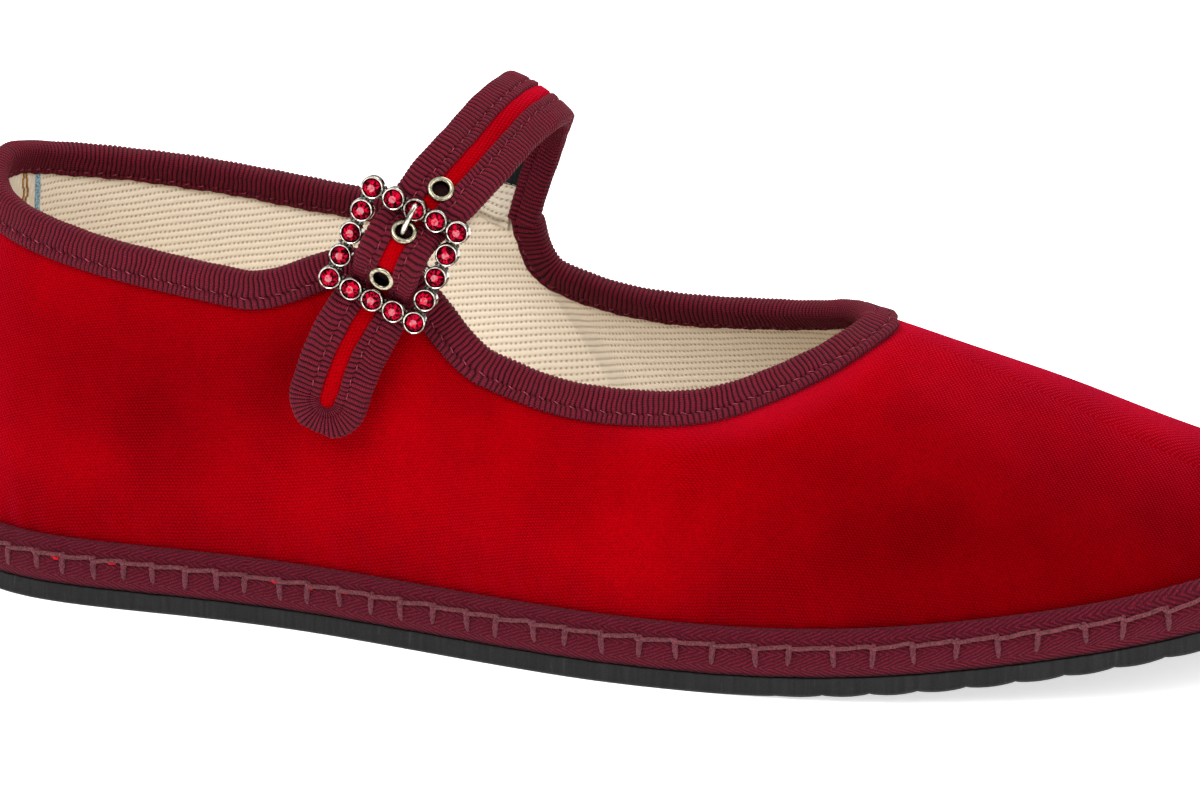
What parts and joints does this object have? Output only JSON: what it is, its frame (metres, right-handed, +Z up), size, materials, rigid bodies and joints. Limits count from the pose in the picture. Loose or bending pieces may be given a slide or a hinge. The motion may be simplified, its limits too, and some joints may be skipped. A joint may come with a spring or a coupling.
{
  "type": "mary jane shoe",
  "caption": "Low velvet mary jane shoe with a ribbon-bound collar, a pin-buckle instep strap set with cut glass stones, and a flat rubber sole.",
  "frame": {"origin": "on the floor under the middle of the heel, 30 mm in from the back of the sole", "axes": "+X to the toe, +Y to the inner side of the foot, +Z up"},
  "size_m": [0.2441, 0.082, 0.087],
  "materials": {
    "tyre_rubber": "matte, rough cut edge",
    "layered_cloth": "layers of cloth pressed together",
    "burgundy_tape": "matte woven herringbone tape",
    "cream_insole": "matte canvas",
    "red_velvet": "short cotton velvet pile outside, cream twill inside",
    "burgundy_ribbon": "ribbed grosgrain ribbon with a slight sheen",
    "silver_metal": "polished",
    "dark_nickel": "polished, darkened",
    "red_glass": "cut and polished"
  },
  "bodies": {
    "root": {"outsole": "tyre_rubber", "midsole": "layered_cloth", "sole_tape": "burgundy_tape", "insole": "cream_insole", "upper": "red_velvet", "collar_binding": "burgundy_ribbon", "strap": "red_velvet", "strap_binding": "burgundy_ribbon", "eyelet_1": "dark_nickel", "eyelet_2": "dark_nickel", "eyelet_3": "dark_nickel", "buckle_frame": "silver_metal", "stone_01": "red_glass", "stone_02": "red_glass", "stone_03": "red_glass", "stone_04": "red_glass", "stone_05": "red_glass", "stone_06": "red_glass", "stone_07": "red_glass", "stone_08": "red_glass", "stone_09": "red_glass", "stone_10": "red_glass", "stone_11": "red_glass", "stone_12": "red_glass", "stone_13": "red_glass", "stone_14": "red_glass", "stone_15": "red_glass", "stone_16": "red_glass", "buckle_bar": "silver_metal", "buckle_prong": "silver_metal", "buckle_keeper_1": "burgundy_ribbon", "buckle_keeper_2": "burgundy_ribbon"}
  },
  "joints": []
}
